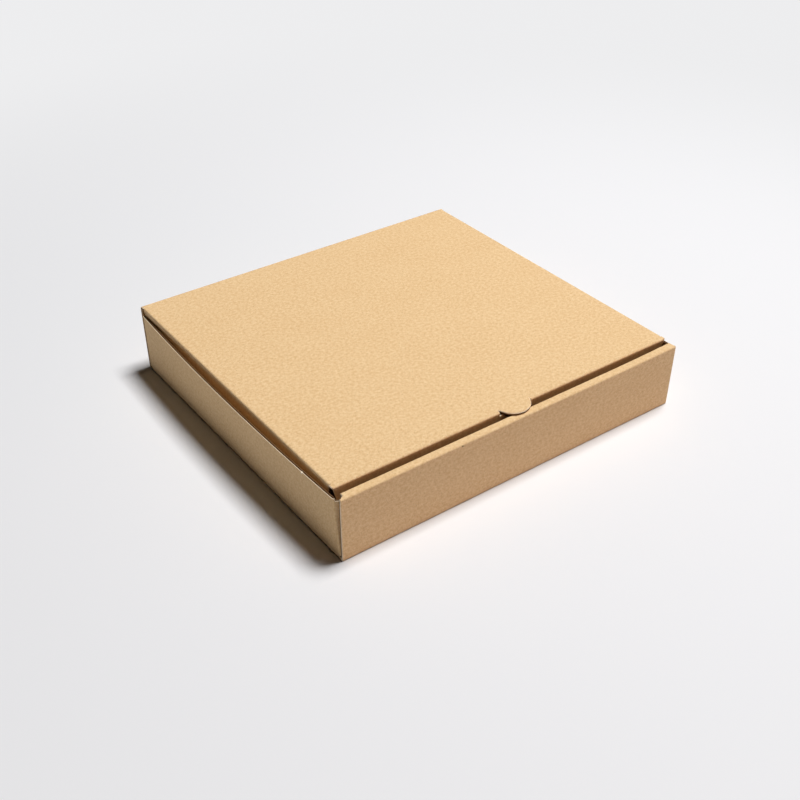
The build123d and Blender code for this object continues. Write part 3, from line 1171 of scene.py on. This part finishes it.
@dataclass
class Wear:
    """The small marks of use: a torn flake on the left wall's top edge and a dark fleck on the ridge."""

    tray: Tray
    flake_place: Pair = (0.0006, -0.0892)
    flake_depths: Pair = (-0.2, 0.4)
    fleck_u: float = -0.0453
    fleck_depths: Pair = (-0.015, 0.1)

    def build(self, torn: Material, dark: Material) -> list[Object]:
        """Build both marks."""
        flake = [
            (-0.0005, -0.0007),
            (0.0003, -0.0008),
            (0.0006, -0.0002),
            (0.0004, 0.0005),
            (-0.0002, 0.0009),
            (-0.0006, 0.0004),
        ]
        fleck = [
            (-0.0007, -0.0001),
            (-0.0002, -0.0004),
            (0.0005, -0.0003),
            (0.0008, 0.0001),
            (0.0001, 0.0004),
            (-0.0005, 0.0003),
        ]
        on_wall = (self.flake_place[0] - self.tray.top_u, self.flake_place[1])
        on_ridge = (self.fleck_u, self.tray.strip.folds[1][1] - self.tray.base_start)
        return [
            self._patch("tray_torn_flake", on_wall, flake, self.flake_depths, torn),
            self._patch("tray_dark_fleck", on_ridge, fleck, self.fleck_depths, dark),
        ]

    def _patch(self, name: str, place: Pair, outline: Loop, depths: Pair, finish: Material) -> Object:
        """Build a small patch of paper on the tray.

        Args:
            name: The piece's name.
            place: Its place in the flat sheet.
            outline: Its outline round that place.
            depths: Depths of its outer and its inner side within the board.
            finish: Its material.

        Returns:
            The new object.
        """
        loop = [(place[0] + u, place[1] + v) for u, v in outline]
        flat = Blank(loop, [], [], []).panel()
        near, far = [np.full(len(flat.corners), depth) for depth in depths]
        return self.tray.paper(name, flat, near, far, finish)


@dataclass(frozen=True)
class Viewpoint:
    """The camera, placed as the box was seen."""

    azimuth: float = math.radians(-35.576)
    elevation: float = math.radians(35.0)
    roll: float = math.radians(-0.496)
    place: tuple[float, float, float] = (-0.36138, -0.50392, 0.42139)
    focal_pixels: float = 1113.3
    picture_pixels: float = 800.0
    sensor: float = 36.0
    clip_start: float = 0.01

    def build(self) -> None:
        """Create the camera and make it the scene's."""
        data = bpy.data.cameras.new("camera")
        data.sensor_width = self.sensor
        data.lens = self.focal_pixels / self.picture_pixels * self.sensor
        data.clip_start = self.clip_start
        camera = bpy.data.objects.new("camera", data)
        bpy.context.scene.collection.objects.link(camera)
        flat = math.cos(self.elevation)
        right = Vector((math.cos(self.azimuth), math.sin(self.azimuth), 0.0))
        back = Vector((right.y * flat, -right.x * flat, math.sin(self.elevation)))
        up = back.cross(right)
        rolled = right * math.cos(self.roll) + up * math.sin(self.roll)
        axes = Matrix((rolled, back.cross(rolled), back)).transposed()
        camera.matrix_world = Matrix.Translation(self.place) @ axes.to_4x4()
        bpy.context.scene.camera = camera


@dataclass(frozen=True)
class Lamp:
    """A square soft lamp that faces the box. Its power is in watts."""

    name: str
    place: tuple[float, float, float]
    size: float
    power: float
    colour: tuple[float, float, float]

    def build(self) -> None:
        """Hang the lamp."""
        data = bpy.data.lights.new(self.name, "AREA")
        data.size, data.energy, data.color = self.size, self.power, self.colour
        lamp = bpy.data.objects.new(self.name, data)
        bpy.context.scene.collection.objects.link(lamp)
        lamp.location = self.place
        lamp.rotation_euler = (-Vector(self.place)).to_track_quat("-Z", "Y").to_euler()


@dataclass(frozen=True)
class Studio:
    """A plain pale floor under soft light from above."""

    floor_colour: Colour = (0.86, 0.86, 0.875, 1.0)
    floor_roughness: float = 0.9
    floor_specular: float = 0.1
    backdrop_colour: Colour = (0.85, 0.85, 0.86, 1.0)
    floor_size: float = 6.0
    fade_start: float = 0.25
    fade_end: float = 0.8
    world_strength: float = 0.0
    lamps: tuple[Lamp, ...] = (
        Lamp("key", (0.8, -0.16, 2.6), 0.85, 79.0, (1.0, 1.0, 1.0)),
        Lamp("front_fill", (0.6, -2.0, 0.25), 0.5, 2.8, (1.0, 0.35, 0.3)),
    )

    def build(self) -> None:
        """Build the floor, the lamps and the world."""
        scene = bpy.context.scene
        scene.view_settings.view_transform = "Standard"
        self._floor()
        for lamp in self.lamps:
            lamp.build()
        world = bpy.data.worlds.new("studio_world")
        scene.world = world
        world.use_nodes = True
        nodes = NodeTree(world.node_tree)
        light = world.node_tree.nodes["Background"]
        light.inputs["Color"].default_value = (1.0, 1.0, 1.0, 1.0)
        light.inputs["Strength"].default_value = self.world_strength
        seen = nodes.add("ShaderNodeBackground")
        seen.inputs["Color"].default_value = self.backdrop_colour
        self._pick(nodes, self._seen_directly(nodes), light, seen, world.node_tree.nodes["World Output"])

    @staticmethod
    def _pick(nodes: NodeTree, share: Socket, first: Node, second: Node, output: Node) -> None:
        """Mix two shaders by a share and join them to the output node.

        Args:
            nodes: Their tree.
            share: The socket of the second one's share.
            first: The first shader.
            second: The second shader.
            output: The output node.
        """
        mixed = nodes.add("ShaderNodeMixShader")
        for socket, value in zip(mixed.inputs, (share, first.outputs[0], second.outputs[0])):
            nodes.link(value, socket)
        nodes.link(mixed.outputs[0], output.inputs[0])

    @staticmethod
    def _seen_directly(nodes: NodeTree) -> Socket:
        """Return 1 where the camera sees a thing itself, in a reflection or through something clear."""
        path = nodes.add("ShaderNodeLightPath")
        direct = nodes.sums("MAXIMUM", path.outputs["Is Camera Ray"], path.outputs["Is Glossy Ray"])
        return nodes.sums("MAXIMUM", direct, path.outputs["Is Transmission Ray"])

    def _floor(self) -> None:
        """Build the floor, which fades into the backdrop away from the box."""
        half = self.floor_size / 2
        mesh = bpy.data.meshes.new("floor")
        corners = [(-half, -half, 0), (half, -half, 0), (half, half, 0), (-half, half, 0)]
        mesh.from_pydata(corners, [], [(0, 1, 2, 3)])
        floor = bpy.data.objects.new("floor", mesh)
        bpy.context.scene.collection.objects.link(floor)
        paint = bpy.data.materials.new("pale_floor")
        paint.use_nodes = True
        shader = paint.node_tree.nodes["Principled BSDF"]
        shader.inputs["Base Color"].default_value = self.floor_colour
        shader.inputs["Roughness"].default_value = self.floor_roughness
        shader.inputs["Specular IOR Level"].default_value = self.floor_specular
        nodes = NodeTree(paint.node_tree)
        place = nodes.add("ShaderNodeNewGeometry")
        away = nodes.add("ShaderNodeVectorMath", operation="LENGTH")
        nodes.link(place.outputs["Position"], away.inputs[0])
        faded = nodes.between(away.outputs["Value"], self.fade_start, self.fade_end)
        backdrop = nodes.add("ShaderNodeEmission")
        backdrop.inputs["Color"].default_value = self.backdrop_colour
        shown = nodes.sums("MULTIPLY", faded, self._seen_directly(nodes))
        self._pick(nodes, shown, shader, backdrop, paint.node_tree.nodes["Material Output"])
        mesh.materials.append(paint)


OUTSIDE = Finish(
    name="kraft_outer_liner",
    light=srgb(243, 211, 164),
    dark=srgb(222, 182, 130),
    speck=srgb(150, 105, 62),
    fibre_relief=0.03,
    flute_relief=0.005,
    roughness=0.82,
)
INSIDE = Finish(
    name="kraft_inner_liner",
    light=srgb(206, 168, 120),
    dark=srgb(178, 140, 94),
    speck=srgb(120, 84, 50),
    fibre_relief=0.04,
    flute_relief=0.008,
    roughness=0.86,
)
FLUTED = Finish(
    name="fluted_paper",
    light=srgb(136, 100, 64),
    dark=srgb(108, 78, 48),
    speck=srgb(80, 56, 34),
    worn=srgb(140, 104, 68),
    fibre_relief=0.04,
)
CUT = Finish(
    name="cut_edge",
    light=srgb(246, 222, 184),
    dark=srgb(224, 190, 146),
    speck=srgb(190, 150, 106),
)
TORN = Finish(
    name="torn_paper",
    light=srgb(250, 244, 232),
    dark=srgb(236, 224, 204),
    speck=srgb(214, 192, 160),
)
DARK_FIBRE = Finish(
    name="dark_fibre",
    light=srgb(128, 100, 62),
    dark=srgb(104, 80, 46),
    speck=srgb(80, 60, 34),
    worn=srgb(128, 100, 62),
    fibre_relief=0.02,
)


def main() -> None:
    """Build the box and its surroundings."""
    logging.basicConfig(level=logging.INFO, format="%(name)s: %(message)s")
    board = Board()
    effects = PaperEffects(board)
    outer, inner, fluted, cut, torn, dark = [
        finish.material(effects) for finish in (OUTSIDE, INSIDE, FLUTED, CUT, TORN, DARK_FIBRE)
    ]
    stack = PaperStack(board, outer, inner, fluted, cut)
    tray = Tray(board)
    lid = Lid(board, tray)
    for body, sheet in (("tray", tray), ("lid", lid)):
        pieces = stack.build(body, sheet)
        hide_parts(body)
        if sheet is tray:
            pieces += Wear(tray).build(torn, dark)
        for piece in pieces:
            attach(piece, body)
            LOG.info("%s: %d faces, on %s", piece.name, len(piece.data.polygons), body)
    for piece in LidCrease(board, tray, lid).build(outer, inner):
        LOG.info("%s: %d faces, bending between tray and lid", piece.name, len(piece.data.polygons))
    Viewpoint().build()
    Studio().build()


if __name__ == "__main__":
    main()
